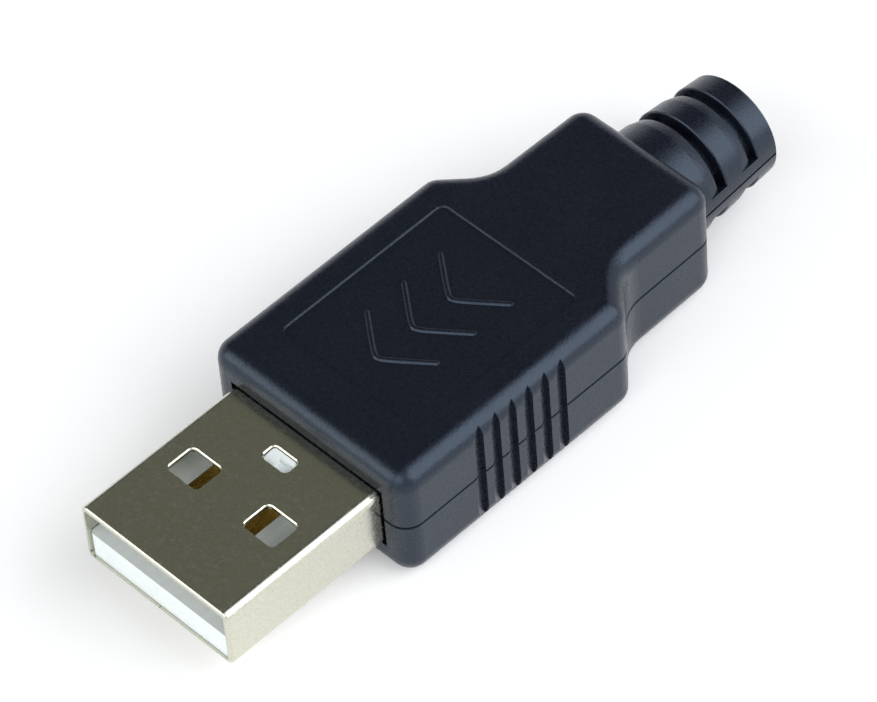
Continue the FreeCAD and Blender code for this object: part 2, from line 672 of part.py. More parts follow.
def hollow_half(body, name, side):
    """The shell's seat, the stop behind it, the room for the wires, and the bore."""
    upward = side > 0
    steps = [
        ("opening", HOUSING_FRONT + " - sizes.shell_sheet",
         HOUSING_FRONT + " + sizes.opening_depth",
         "sizes.shell_width + 2 * sizes.opening_gap",
         "sizes.shell_height / 2 + sizes.opening_gap"),
        ("seat", HOUSING_FRONT, SEAT_REAR,
         "sizes.shell_width + 2 * sizes.seat_gap",
         "sizes.shell_height / 2 + sizes.seat_gap"),
        ("stop", SEAT_REAR, STOP_REAR,
         "sizes.shell_width - 2 * sizes.stop_step",
         "sizes.shell_height / 2 - sizes.stop_step"),
    ]
    for label, start, end, width, height in steps:
        plan = sketch_on(body, name + "_" + label + "_plan", "XY_Plane")
        centred_rectangle(plan, start, end, width)
        cut(body, name + "_" + label, plan, height, reverse=upward)
    room = sketch_on(body, name + "_room_plan", "XY_Plane")
    outline(room, [
        (STOP_REAR, "-" + ROOM_HALF),
        ("sizes.shoulder_setback - sizes.side_wall / 2", "-" + ROOM_HALF),
        ("%s - sizes.side_wall / 2" % SHOULDER_END, "-" + ROOM_NECK_HALF),
        (ROOM_REAR, "-" + ROOM_NECK_HALF),
        (ROOM_REAR, ROOM_NECK_HALF),
        ("%s - sizes.side_wall / 2" % SHOULDER_END, ROOM_NECK_HALF),
        ("sizes.shoulder_setback - sizes.side_wall / 2", ROOM_HALF),
        (STOP_REAR, ROOM_HALF),
    ])
    cut(body, name + "_room", room, ROOM_HEIGHT, reverse=upward)
    ribs = sketch_on(body, name + "_rib_plan", "XY_Plane")
    for index in range(2):
        start = "(sizes.rib_setback + %d * sizes.rib_pitch)" % index
        centred_rectangle(
            ribs, start, start + " + sizes.rib_length", "2 * %s + sizes.side_wall" % ROOM_NECK_HALF,
        )
    pad(body, name + "_ribs", ribs, ROOM_HEIGHT + " + sizes.roof_wall / 2", reverse=not upward)
    sign = "" if upward else "-"
    bore = sketch_on(body, name + "_bore_profile", "XZ_Plane")
    rectangle(bore, ROOM_REAR, TAIL_END, "0", sign + "sizes.cable_bore / 2")
    turned(body, "PartDesign::Groove", name + "_bore", bore, "180")
    notch = sketch_on(body, name + "_notch_profile", "XZ_Plane")
    rib_end = "sizes.rib_setback + sizes.rib_pitch + sizes.rib_length"
    rectangle(notch, "sizes.rib_setback", rib_end, "0", sign + "sizes.rib_bore / 2")
    turned(body, "PartDesign::Groove", name + "_rib_notches", notch, "180")


def bosses(body, name, side):
    """Four bosses by the side walls, with pins below and holes above."""
    upward = side > 0
    places = [
        (x, sign + "sizes.boss_spread / 2")
        for x in ("sizes.boss_front_setback", "sizes.boss_rear_setback")
        for sign in ("-", "")
    ]
    posts = sketch_on(body, name + "_boss_plan", "XY_Plane")
    for x, y in places:
        circle(posts, x, y, "sizes.boss_radius")
    pad(body, name + "_bosses", posts, ROOM_HEIGHT + " + sizes.roof_wall / 2", reverse=not upward)
    middles = sketch_on(body, name + "_pin_plan", "XY_Plane")
    radius = "sizes.pin_radius + sizes.pin_gap" if upward else "sizes.pin_radius"
    for x, y in places:
        circle(middles, x, y, radius)
    if upward:
        cut(body, name + "_pin_holes", middles, "sizes.pin_length + 4 * sizes.pin_gap", reverse=True)
    else:
        pad(body, name + "_pins", middles, "sizes.pin_length")


def grips(body, name):
    """Saw-toothed grooves cut straight down both sides."""
    teeth = sketch_on(body, name + "_grip_plan", "XY_Plane")
    steep = "sizes.grip_setback"
    flank = "sizes.grip_setback - sizes.grip_flank"
    lip = "sizes.grip_setback + sizes.grip_wall"
    for sign in ("", "-"):
        face = sign + HALF_WIDTH
        deep = "%s(%s - sizes.grip_depth)" % (sign, HALF_WIDTH)
        clear = "%s(%s + sizes.grip_depth)" % (sign, HALF_WIDTH)
        outline(teeth, [(flank, face), (steep, deep), (lip, face), (lip, clear), (flank, clear)])
    first = cut(body, name + "_grip", teeth, both=True)
    row = body.newObject("PartDesign::LinearPattern", name + "_grips")
    row.Originals = [first]
    row.Direction = (teeth, ["H_Axis"])
    row.setExpression("Length", "sizes.grip_pitch * (sizes.grip_count - 1)")
    row.setExpression("Occurrences", "sizes.grip_count")
    return finish(body, row)


def parting_lines(body, name, side):
    """A fine step beside the tail's parting plane, which shows as a dark line."""
    relief = sketch_on(body, name + "_relief_plan", "XY_Plane")
    outer = "(sizes.tail_root_radius + sizes.relief_reach)"
    inner = "(sizes.tail_tip_radius - sizes.relief_reach)"
    for sign in ("", "-"):
        rectangle(relief, "sizes.housing_rear", TAIL_END, sign + inner, sign + outer)
    cut(body, name + "_relief", relief, "sizes.parting_relief", reverse=side > 0)


def sunken_panel(body, name):
    """The shallow panel in the top face."""
    floor = sketch_on(body, name + "_panel_plan", "XY_Plane", "%s - sizes.panel_depth" % HALF_HEIGHT)
    end = "(sizes.panel_setback + sizes.panel_length)"
    centred_rectangle(floor, "sizes.panel_setback", end, "sizes.panel_width")
    sunk = cut(body, name + "_panel", floor, "2 * sizes.panel_depth", reverse=True)
    at_front = upright_at("sizes.panel_setback", "sizes.panel_width / 2")
    at_rear = upright_at(end, "sizes.panel_width / 2")
    dress(
        body, "PartDesign::Fillet", name + "_panel_corners", sunk,
        edges_where(sunk, lambda edge: at_front(edge) or at_rear(edge)), "sizes.panel_corner",
    )


def housing_half(name, side):
    body = new_body(name)
    housing_block(body, name, side)
    tail(body, name, side)
    hollow_half(body, name, side)
    bosses(body, name, side)
    grips(body, name)
    parting_lines(body, name, side)
    if side > 0:
        sunken_panel(body, name)
    return body


def check(bodies):
    document.recompute()
    for item in document.Objects:
        if "Invalid" in item.State or "Error" in item.State:
            raise RuntimeError("%s is %s" % (item.Name, item.State))
    for body in bodies:
        if body.Shape.isNull() or not body.Shape.isValid() or len(body.Shape.Solids) != 1:
            raise RuntimeError("%s is not one valid solid" % body.Label)


def main():
    fill_sheet()
    bodies = [plug_shell(), contact_carrier()]
    bodies += [contact(*place) for place in contact_places()]
    bodies += [housing_half("upper_housing", 1), housing_half("lower_housing", -1)]
    check(bodies)
    os.makedirs("parts", exist_ok=True)
    for body in bodies:
        body.Shape.exportStep("parts/%s.step" % body.Label)


main()
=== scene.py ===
import math

import bpy
import numpy as np
from bpy.props import FloatProperty, FloatVectorProperty, IntProperty, PointerProperty
from bpy.types import Operator, Panel, PropertyGroup
from mathutils import Matrix, Vector


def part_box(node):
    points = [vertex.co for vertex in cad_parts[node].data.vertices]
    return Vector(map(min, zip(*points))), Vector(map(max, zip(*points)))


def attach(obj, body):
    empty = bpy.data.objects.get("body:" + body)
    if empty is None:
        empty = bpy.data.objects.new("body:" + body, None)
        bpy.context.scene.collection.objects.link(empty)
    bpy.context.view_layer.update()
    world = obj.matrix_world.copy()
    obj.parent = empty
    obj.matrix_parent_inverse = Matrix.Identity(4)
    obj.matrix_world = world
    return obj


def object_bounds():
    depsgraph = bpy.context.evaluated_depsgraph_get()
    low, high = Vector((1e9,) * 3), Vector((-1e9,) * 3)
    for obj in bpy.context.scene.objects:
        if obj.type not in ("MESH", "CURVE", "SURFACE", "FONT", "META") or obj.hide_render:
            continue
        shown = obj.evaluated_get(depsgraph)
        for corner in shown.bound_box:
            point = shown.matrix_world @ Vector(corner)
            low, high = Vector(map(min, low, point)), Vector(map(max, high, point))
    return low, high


bl_info = {
    "name": "Cable plug finishes",
    "version": (1, 0, 0),
    "blender": (4, 5, 0),
    "location": "View3D > Sidebar > Cable Plug",
    "description": "Finishes, moulded marks and a small studio for a cable plug",
    "category": "Object",
}

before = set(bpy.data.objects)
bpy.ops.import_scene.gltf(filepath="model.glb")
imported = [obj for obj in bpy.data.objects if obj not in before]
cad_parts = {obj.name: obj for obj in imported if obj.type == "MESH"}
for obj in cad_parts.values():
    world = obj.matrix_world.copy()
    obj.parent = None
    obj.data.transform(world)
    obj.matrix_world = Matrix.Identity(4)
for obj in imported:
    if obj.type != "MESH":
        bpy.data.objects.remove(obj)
CAD_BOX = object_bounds()
MM = 0.001
PHOTO_WIDTH = 877
SENSOR_WIDTH = 36.0

HOUSING_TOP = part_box("upper_housing")[1].z
FLOOR_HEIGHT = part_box("lower_housing")[0].z
PLUG_MIDDLE = 0.5 * (Vector(CAD_BOX[0]) + Vector(CAD_BOX[1]))
CONTACTS = ("contact_power", "contact_data_minus", "contact_data_plus", "contact_ground")
HOUSING_MATERIAL = "moulded_black_abs"

# How far a rib and the panel's slope reach into the plastic that carries them, and how far they stay
# below the housing's top face.
RIB_ROOT = 0.03 * MM
RIB_CLEARANCE = 0.01 * MM
SLOPE_ROOT = 0.01 * MM
SLOPE_CLEARANCE = 0.004 * MM

# One flank of a rib's section, from its foot to its top: how many times the draft it has leaned in, and
# how high it stands as a share of the rib's height. The last point takes the edge off the top.
FLANK_LEAN = np.array([0.0, 0.5, 1.0, 1.4])
FLANK_RISE = np.array([0.0, 0.5, 0.9, 1.0])
# A rib's ends narrow to this share of its width, so that its caps have an area.
RIB_END_SHARE = 0.01
RIB_ROWS = 121
CORNER_STEPS = 12
SHARP_ANGLE = math.radians(35)

# The colour sockets of a mix node, by number, because its sockets for numbers and colours share names.
MIX_SHARE, MIX_FIRST, MIX_SECOND, MIX_COLOUR = 0, 6, 7, 2
# A noise's values crowd about a half. These stretches of them are taken as none to all of an effect.
NOISE_RANGE = {"From Min": 0.3, "From Max": 0.7}
CRISP_RANGE = {"From Min": 0.35, "From Max": 0.65}
FLECK_RANGE = {"From Min": 0.46, "From Max": 0.72}
# The seam's line of painted shade is soft: black up to the first share of its width from its middle, gone
# at the second.
SEAM_CORE, SEAM_EDGE = 0.35, 0.65
# How often a streak's pattern changes along the plug, as a share of how often it does across it.
FLOW_STREAK = 0.15
ROLLING_STREAK = 0.05
PLASTIC_IOR = 1.57
# Carbon black gives the housing's gloss a blue cast.
BLUE_GLOSS = (0.6, 0.78, 1.0, 1.0)
BLACK = (0.0, 0.0, 0.0, 1.0)
WHITE = (1.0, 1.0, 1.0, 1.0)

FLOOR_HALF = 4.0
# The floor stands this much below the plug, so that the two flat faces don't flicker.
FLOOR_GAP = 0.02 * MM
# Width in millimetres of the faint patches in the floor's paint.
FLOOR_PATCH = 40.0
# The soft boxes: name, direction from the plug's middle, side in metres, power in watts and colour.
SOFT_BOXES = (
    ("soft_box_right", (0.43, -0.70, 0.57), 0.56, 2.1, (0.98, 0.98, 1.0)),
    ("soft_box_front", (-0.80, -0.25, 0.55), 0.40, 0.8, (0.94, 0.99, 1.0)),
    ("soft_box_left", (-0.754, 0.493, 0.431), 0.34, 0.8, (1.0, 0.98, 0.95)),
)
LAMP_DISTANCE = 0.55
# The dark opening in the studio's ceiling: its middle, how it is drawn out along the plug, and the
# angles from its middle to its rim.
OPENING_DIRECTION = (0.0, 0.547, 0.837)
OPENING_STRETCH = 0.6
RIM_INNER = math.radians(27)
RIM_OUTER = math.radians(36)
RIM_SOFTNESS = math.radians(5)
CAMERA_CLIP = 0.01


def linear(hex_colour):
    """Turns an sRGB hex colour such as #1a1c24 to linear red, green and blue."""
    levels = np.array([int(hex_colour[i:i + 2], 16) / 255 for i in (1, 3, 5)])
    low = levels / 12.92
    high = ((levels + 0.055) / 1.055) ** 2.4
    return tuple(float(level) for level in np.where(levels <= 0.04045, low, high))


def opaque(colour):
    """The same colour with an alpha of 1, as a colour socket holds it."""
    return (*colour, 1.0)


class HousingFinish(PropertyGroup):
    """Black plastic of both housing halves and their marks"""
    plastic: FloatVectorProperty(
        name="Plastic", description="Colour of the moulded plastic", subtype="COLOR",
        size=3, min=0, max=1, default=linear("#0e0f19"))
    sheen: FloatVectorProperty(
        name="Pale grain", description="Colour of the high spots of the spark-eroded grain",
        subtype="COLOR", size=3, min=0, max=1, default=linear("#141621"))
    roughness: FloatProperty(
        name="Roughness", description="Roughness of the satin surface", subtype="FACTOR",
        min=0, max=1, default=0.3)
    grain_size: FloatProperty(
        name="Grain size", description="Width of one grain of the mould's texture, in millimetres",
        min=0.02, max=1, default=0.17)
    grain_depth: FloatProperty(
        name="Grain depth", description="Height of the mould's texture", subtype="DISTANCE",
        unit="LENGTH", min=0, max=0.0001, default=0.016 * MM, precision=6)
    grain_gloss: FloatProperty(
        name="Grain gloss", description="Change of roughness from the grain's low to its high spots",
        subtype="FACTOR", min=0, max=1, default=0.06)
    flow_size: FloatProperty(
        name="Flow size", description="Width of the melt's slow changes of gloss, in millimetres",
        min=0.1, max=50, default=4.0)
    flow_gloss: FloatProperty(
        name="Flow gloss", description="Change of roughness from the flow of the melt",
        subtype="FACTOR", min=0, max=1, default=0.03)
    # The seam's black line is painted shade in the gap between the halves.
    seam_shade_width: FloatProperty(
        name="Seam width", description="Width of the dark line where the halves meet, in millimetres",
        min=0, max=1, default=0.2)


class ShellFinish(PropertyGroup):
    """Plated sheet of the shell"""
    plate: FloatVectorProperty(
        name="Plate", description="Colour of the nickel plate", subtype="COLOR",
        size=3, min=0, max=1, default=linear("#d6d5c7"))
    tarnish: FloatVectorProperty(
        name="Tarnish", description="Colour of the duller specks in the plate", subtype="COLOR",
        size=3, min=0, max=1, default=linear("#cac9b9"))
    roughness: FloatProperty(
        name="Roughness", description="Roughness of the plated sheet", subtype="FACTOR",
        min=0, max=1, default=0.18)
    speck_size: FloatProperty(
        name="Speck size", description="Width of one speck in the plate, in millimetres",
        min=0.02, max=1, default=0.2)
    speck_depth: FloatProperty(
        name="Speck depth", description="Height of the specks", subtype="DISTANCE", unit="LENGTH",
        min=0, max=0.0001, default=0.0007 * MM, precision=6)
    fleck_size: FloatProperty(
        name="Fleck size", description="Distance between dull flecks in the plate, in millimetres",
        min=0.02, max=1, default=0.3)
    fleck_roughness: FloatProperty(
        name="Fleck roughness", description="Roughness that a fleck adds to the plate",
        subtype="FACTOR", min=0, max=1, default=0.16)


class CarrierFinish(PropertyGroup):
    """White plastic of the contact carrier"""
    plastic: FloatVectorProperty(
        name="Plastic", description="Colour of the contact carrier", subtype="COLOR",
        size=3, min=0, max=1, default=linear("#f1f6f4"))
    flow_marks: FloatVectorProperty(
        name="Flow marks", description="Colour of the faint streaks that the melt leaves",
        subtype="COLOR", size=3, min=0, max=1, default=linear("#e8eff0"))
    roughness: FloatProperty(
        name="Roughness", description="Roughness of the carrier", subtype="FACTOR",
        min=0, max=1, default=0.32)
    flow_gloss: FloatProperty(
        name="Flow gloss", description="Change of roughness from one flow mark to the next",
        subtype="FACTOR", min=0, max=1, default=0.05)
    flow_size: FloatProperty(
        name="Flow size", description="Width of a flow mark, in millimetres",
        min=0.02, max=5, default=0.5)
    flow_depth: FloatProperty(
        name="Flow depth", description="Height of a flow mark", subtype="DISTANCE", unit="LENGTH",
        min=0, max=0.0001, default=0.002 * MM, precision=6)


class ContactFinish(PropertyGroup):
    """Gold flash of the four contacts"""
    gold: FloatVectorProperty(
        name="Gold", description="Colour of the gold flash", subtype="COLOR",
        size=3, min=0, max=1, default=linear("#d9b25c"))
    bronze: FloatVectorProperty(
        name="Rolling lines", description="Colour where the bronze shows through in the rolling lines",
        subtype="COLOR", size=3, min=0, max=1, default=linear("#b98f45"))
    smooth: FloatProperty(
        name="Roughness", description="Roughness of the gold between the rolling lines",
        subtype="FACTOR", min=0, max=1, default=0.21)
    lined: FloatProperty(
        name="Line roughness", description="Roughness of the gold in the rolling lines",
        subtype="FACTOR", min=0, max=1, default=0.33)
    line_size: FloatProperty(
        name="Line size", description="Distance between rolling lines, in millimetres",
        min=0.01, max=1, default=0.06)
    line_depth: FloatProperty(
        name="Line depth", description="Depth of a rolling line", subtype="DISTANCE", unit="LENGTH",
        min=0, max=0.0001, default=0.001 * MM, precision=6)


class DirectionRibs(PropertyGroup):
    """Sizes of the raised ribs in the sunken panel"""
    count: IntProperty(
        name="Count", description="Number of nested ribs", min=1, max=6, default=3)
    front: FloatProperty(
        name="First nose", description="Distance of the first rib's nose behind the mouth",
        subtype="DISTANCE", unit="LENGTH", min=0, default=17.9 * MM, precision=5)
    pitch: FloatProperty(
        name="Pitch", description="Distance from one rib to the next",
        subtype="DISTANCE", unit="LENGTH", min=0, default=3.0 * MM, precision=5)
    half_span: FloatProperty(
        name="Half span", description="Reach of one arm across the plug",
        subtype="DISTANCE", unit="LENGTH", min=0, default=3.0 * MM, precision=5)
    slope: FloatProperty(
        name="Slope", description="Angle of an arm from the crosswise direction",
        subtype="ANGLE", unit="ROTATION", min=0, max=1.5, default=math.radians(38))
    nose_radius: FloatProperty(
        name="Nose radius", description="How far across the plug the rounding of the nose reaches",
        subtype="DISTANCE", unit="LENGTH", min=0, default=0.3 * MM, precision=5)
    width: FloatProperty(
        name="Width", description="Width of a rib at its foot",
        subtype="DISTANCE", unit="LENGTH", min=0, default=0.42 * MM, precision=5)
    draft: FloatProperty(
        name="Draft", description="How far each flank leans in from foot to top",
        subtype="DISTANCE", unit="LENGTH", min=0, default=0.12 * MM, precision=5)


class SunkenPanel(PropertyGroup):
    """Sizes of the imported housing's sunken panel, which the frame doesn't give, and of its slope"""
    front: FloatProperty(
        name="Front", description="Distance of the sunken panel's front edge behind the mouth",
        subtype="DISTANCE", unit="LENGTH", min=0, default=15.5 * MM, precision=5)
    length: FloatProperty(
        name="Length", description="Length of the sunken panel", subtype="DISTANCE", unit="LENGTH",
        min=0, default=13.3 * MM, precision=5)
    width: FloatProperty(
        name="Width", description="Width of the sunken panel", subtype="DISTANCE", unit="LENGTH",
        min=0, default=11.1 * MM, precision=5)
    corner: FloatProperty(
        name="Corner radius", description="Radius of the sunken panel's corners",
        subtype="DISTANCE", unit="LENGTH", min=0, default=0.55 * MM, precision=5)
    depth: FloatProperty(
        name="Depth", description="Depth of the sunken panel below the top face",
        subtype="DISTANCE", unit="LENGTH", min=0, default=0.14 * MM, precision=5)
    slope: FloatProperty(
        name="Slope width", description="Width of the slope from the panel to the top face",
        subtype="DISTANCE", unit="LENGTH", min=0, default=0.08 * MM, precision=5)


class StudioSettings(PropertyGroup):
    """Floor, walls and camera"""
    floor: FloatVectorProperty(
        name="Floor", description="Colour of the floor", subtype="COLOR",
        size=3, min=0, max=1, default=linear("#f4f4f4"))
    floor_patches: FloatVectorProperty(
        name="Floor patches", description="Colour of the faint patches in the floor's paint",
        subtype="COLOR", size=3, min=0, max=1, default=linear("#f2f2f2"))
    floor_lift: FloatProperty(
        name="Floor lift", description="Light added to the floor where it is seen or mirrored",
        min=0, max=1, default=0.2)
    wall: FloatVectorProperty(
        name="Wall", description="Light of the studio's pale walls", subtype="COLOR",
        size=3, min=0, max=1, default=linear("#f6f8fb"))
    opening: FloatVectorProperty(
        name="Dark opening", description="Light of the unlit part of the room, beside and above the plug",
        subtype="COLOR", size=3, min=0, max=1, default=linear("#73756a"))
    shade: FloatVectorProperty(
        name="Shade", description="Light of the opening's deep blue rim", subtype="COLOR",
        size=3, min=0, max=1, default=linear("#30304a"))
    wall_strength: FloatProperty(
        name="Wall strength", description="Strength of the light from the walls and the opening",
        min=0, max=2, default=0.86)
    camera_turn: FloatProperty(
        name="Camera turn", description="Turn of the camera about the vertical",
        subtype="ANGLE", unit="ROTATION", default=math.radians(-41.222))
    camera_height: FloatProperty(
        name="Camera height", description="Angle of the camera above the floor",
        subtype="ANGLE", unit="ROTATION", default=math.radians(49.037))
    camera_roll: FloatProperty(
        name="Camera roll", description="Turn of the camera about its own line of sight",
        subtype="ANGLE", unit="ROTATION", default=math.radians(-5.119))
    camera_distance: FloatProperty(
        name="Camera distance", description="Distance of the camera from its target",
        subtype="DISTANCE", unit="LENGTH", default=318.47 * MM, precision=5)
    camera_right: FloatProperty(
        name="Camera right", description="Sideways move of the camera in its own picture plane",
        subtype="DISTANCE", unit="LENGTH", default=1.777 * MM, precision=6)
    camera_up: FloatProperty(
        name="Camera up", description="Upward move of the camera in its own picture plane",
        subtype="DISTANCE", unit="LENGTH", default=1.935 * MM, precision=6)
    target_x: FloatProperty(
        name="Target", description="Place on the plug's axis that the camera turns about",
        subtype="DISTANCE", unit="LENGTH", default=20 * MM, precision=5)
    focal_pixels: FloatProperty(
        name="Focal length", description="Focal length in pixels of the picture",
        min=100, default=5514.2)


def add_node(tree, kind, inputs=None, **settings):
    """Adds a node of one kind to a tree and gives its output sockets. settings are its own properties,
    and inputs are values or output sockets for its input sockets, by name or by number."""
    node = tree.nodes.new(kind)
    for name, value in settings.items():
        setattr(node, name, value)
    for name, value in (inputs or {}).items():
        if isinstance(value, bpy.types.NodeSocket):
            tree.links.new(value, node.inputs[name])
        else:
            node.inputs[name].default_value = value
    return node.outputs


def new_material(name):
    """An empty node material, its tree, and coordinates in millimetres on the piece."""
    material = bpy.data.materials.new(name)
    material.use_nodes = True
    tree = material.node_tree
    tree.nodes.clear()
    metres = add_node(tree, "ShaderNodeTexCoord")["Object"]
    place = add_node(tree, "ShaderNodeMapping", {"Vector": metres, "Scale": (1 / MM, 1 / MM, 1 / MM)})
    return material, tree, place["Vector"]


def spark_eroded_plastic(settings):
    """Black ABS moulded in a spark-eroded tool. The eye sees a satin near-black with a very fine even
    grain, a blue cast in its gloss, and pale bands where the rounded edges turn to the light."""
    material, tree, place = new_material(HOUSING_MATERIAL)
    # Real grain of this kind is about 0.04 mm wide. It is drawn four times as coarse, so that it shows.
    grain = add_node(tree, "ShaderNodeTexNoise", {
        "Vector": place, "Scale": 1 / settings.grain_size, "Detail": 3.0, "Roughness": 0.6})["Fac"]
    high_spots = add_node(tree, "ShaderNodeMapRange", {"Value": grain, **NOISE_RANGE})["Result"]
    colour = add_node(tree, "ShaderNodeMix", {
        MIX_SHARE: high_spots, MIX_FIRST: opaque(settings.plastic),
        MIX_SECOND: opaque(settings.sheen)}, data_type="RGBA")[MIX_COLOUR]
    # The flow of the melt changes the gloss over a few millimetres, and the grain changes it finely.
    flow = add_node(tree, "ShaderNodeTexNoise", {
        "Vector": place, "Scale": 1 / settings.flow_size})["Fac"]
    slow = add_node(tree, "ShaderNodeMapRange", {
        "Value": flow, **NOISE_RANGE, "To Min": settings.roughness - settings.flow_gloss,
        "To Max": settings.roughness + settings.flow_gloss})["Result"]
    fine = add_node(tree, "ShaderNodeMapRange", {
        "Value": grain, **CRISP_RANGE, "To Min": -settings.grain_gloss,
        "To Max": settings.grain_gloss})["Result"]
    satin = add_node(tree, "ShaderNodeMath", {0: slow, 1: fine}, operation="ADD")["Value"]
    # Where the two halves meet, at height 0, the colour is painted black. This is painted shade for the
    # fine gap, which takes in the light. The gap has no gloss.
    height = add_node(tree, "ShaderNodeSeparateXYZ", {"Vector": place})["Z"]
    off_seam = add_node(tree, "ShaderNodeMath", {0: height}, operation="ABSOLUTE")["Value"]
    lit = add_node(tree, "ShaderNodeMapRange", {
        "Value": off_seam, "From Min": SEAM_CORE * settings.seam_shade_width,
        "From Max": SEAM_EDGE * settings.seam_shade_width})["Result"]
    # Painted shade: the colour goes to black along the seam.
    colour = add_node(tree, "ShaderNodeMix", {
        MIX_SHARE: lit, MIX_FIRST: BLACK, MIX_SECOND: colour}, data_type="RGBA")[MIX_COLOUR]
    dull = add_node(tree, "ShaderNodeMath", {0: 1.0, 1: lit}, operation="SUBTRACT")["Value"]
    roughness = add_node(tree, "ShaderNodeMath", {0: satin, 1: dull}, operation="MAXIMUM")["Value"]
    bump = add_node(tree, "ShaderNodeBump", {
        "Strength": 1.0, "Distance": settings.grain_depth, "Height": grain})["Normal"]
    shader = add_node(tree, "ShaderNodeBsdfPrincipled", {
        "Base Color": colour, "Roughness": roughness, "IOR": PLASTIC_IOR, "Normal": bump,
        "Specular Tint": BLUE_GLOSS})["BSDF"]
    add_node(tree, "ShaderNodeOutputMaterial", {"Surface": shader})
    return material


def nickel_plate(settings):
    """Nickel plate on rolled steel sheet. The eye sees a bright metal, slightly warm. Dull flecks of the
    rolled surface show through the plate, most where it mirrors something dark."""
    material, tree, place = new_material("nickel_plated_sheet")
    # Specks and flecks of such a sheet are a few tenths of a millimetre wide, and are drawn that size.
    specks = add_node(tree, "ShaderNodeTexNoise", {
        "Vector": place, "Scale": 1 / settings.speck_size, "Detail": 4.0, "Roughness": 0.65})["Fac"]
    bright = add_node(tree, "ShaderNodeMapRange", {"Value": specks, **CRISP_RANGE})["Result"]
    colour = add_node(tree, "ShaderNodeMix", {
        MIX_SHARE: bright, MIX_FIRST: opaque(settings.tarnish),
        MIX_SECOND: opaque(settings.plate)}, data_type="RGBA")[MIX_COLOUR]
    flecks = add_node(tree, "ShaderNodeTexNoise", {
        "Vector": place, "Scale": 1 / settings.fleck_size, "Detail": 3.0, "Roughness": 0.7})["Fac"]
    roughness = add_node(tree, "ShaderNodeMapRange", {
        "Value": flecks, **FLECK_RANGE, "To Min": settings.roughness,
        "To Max": settings.roughness + settings.fleck_roughness})["Result"]
    bump = add_node(tree, "ShaderNodeBump", {
        "Strength": 1.0, "Distance": settings.speck_depth, "Height": specks})["Normal"]
    shader = add_node(tree, "ShaderNodeBsdfPrincipled", {
        "Base Color": colour, "Metallic": 1.0, "Roughness": roughness, "Normal": bump})["BSDF"]
    add_node(tree, "ShaderNodeOutputMaterial", {"Surface": shader})
    return material


def white_thermoplastic(settings):
    """White glass-filled polyester, moulded in a polished tool. The eye sees a cool white with a soft
    gloss and faint flow marks along the tongue."""
    material, tree, place = new_material("moulded_white_polyester")
    # Flow marks of such a moulding are about half a millimetre wide and a few millimetres long.
    lengthways = add_node(tree, "ShaderNodeMapping", {
        "Vector": place, "Scale": (FLOW_STREAK, 1.0, 1.0)})["Vector"]
    flow = add_node(tree, "ShaderNodeTexNoise", {
        "Vector": lengthways, "Scale": 1 / settings.flow_size})["Fac"]
    marked = add_node(tree, "ShaderNodeMapRange", {"Value": flow, **NOISE_RANGE})["Result"]
    colour = add_node(tree, "ShaderNodeMix", {
        MIX_SHARE: marked, MIX_FIRST: opaque(settings.plastic),
        MIX_SECOND: opaque(settings.flow_marks)}, data_type="RGBA")[MIX_COLOUR]
    roughness = add_node(tree, "ShaderNodeMapRange", {
        "Value": flow, **NOISE_RANGE, "To Min": settings.roughness - settings.flow_gloss,
        "To Max": settings.roughness + settings.flow_gloss})["Result"]
    bump = add_node(tree, "ShaderNodeBump", {
        "Strength": 1.0, "Distance": settings.flow_depth, "Height": flow})["Normal"]
    shader = add_node(tree, "ShaderNodeBsdfPrincipled", {
        "Base Color": colour, "Roughness": roughness, "IOR": PLASTIC_IOR, "Normal": bump})["BSDF"]
    add_node(tree, "ShaderNodeOutputMaterial", {"Surface": shader})
    return material


def gold_flash(settings):
    """Gold flash on rolled phosphor bronze strip. The eye sees a warm yellow metal with faint lines
    along the strip from rolling."""
    material, tree, place = new_material("gold_flashed_bronze")
    # Real rolling lines are about 0.02 mm apart. They are drawn three times as coarse, so that they show.
    lengthways = add_node(tree, "ShaderNodeMapping", {
        "Vector": place, "Scale": (ROLLING_STREAK, 1.0, 1.0)})["Vector"]
    lines = add_node(tree, "ShaderNodeTexNoise", {
        "Vector": lengthways, "Scale": 1 / settings.line_size})["Fac"]
    gilded = add_node(tree, "ShaderNodeMapRange", {"Value": lines, **NOISE_RANGE})["Result"]
    colour = add_node(tree, "ShaderNodeMix", {
        MIX_SHARE: gilded, MIX_FIRST: opaque(settings.bronze),
        MIX_SECOND: opaque(settings.gold)}, data_type="RGBA")[MIX_COLOUR]
    roughness = add_node(tree, "ShaderNodeMapRange", {
        "Value": lines, **NOISE_RANGE, "To Min": settings.lined, "To Max": settings.smooth})["Result"]
    bump = add_node(tree, "ShaderNodeBump", {
        "Strength": 1.0, "Distance": settings.line_depth, "Height": lines})["Normal"]
    shader = add_node(tree, "ShaderNodeBsdfPrincipled", {
        "Base Color": colour, "Metallic": 1.0, "Roughness": roughness, "Normal": bump})["BSDF"]
    add_node(tree, "ShaderNodeOutputMaterial", {"Surface": shader})
    return material


def dress(names, material):
    """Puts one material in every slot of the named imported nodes."""
    for name in names:
        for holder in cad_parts[name].material_slots:
            holder.material = material


def mesh_object(name, points, faces, material):
    """An object from an array of points and a list of faces, with its place in its mesh."""
    mesh = bpy.data.meshes.new(name)
    mesh.from_pydata(points.tolist(), [], faces)
    mesh.update()
    mesh.materials.append(material)
    piece = bpy.data.objects.new(name, mesh)
    bpy.context.scene.collection.objects.link(piece)
    return piece


def moulded_piece(name, points, faces):
    """A smooth piece in the housing's plastic, which rides on the plug's one body."""
    material = bpy.data.materials.get(HOUSING_MATERIAL)
    if material is None:
        raise RuntimeError("finish the housing before %s" % name)
    piece = mesh_object(name, points, faces, material)
    piece.data.shade_smooth()
    piece.data.set_sharp_from_angle(angle=SHARP_ANGLE)
    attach(piece, "root")


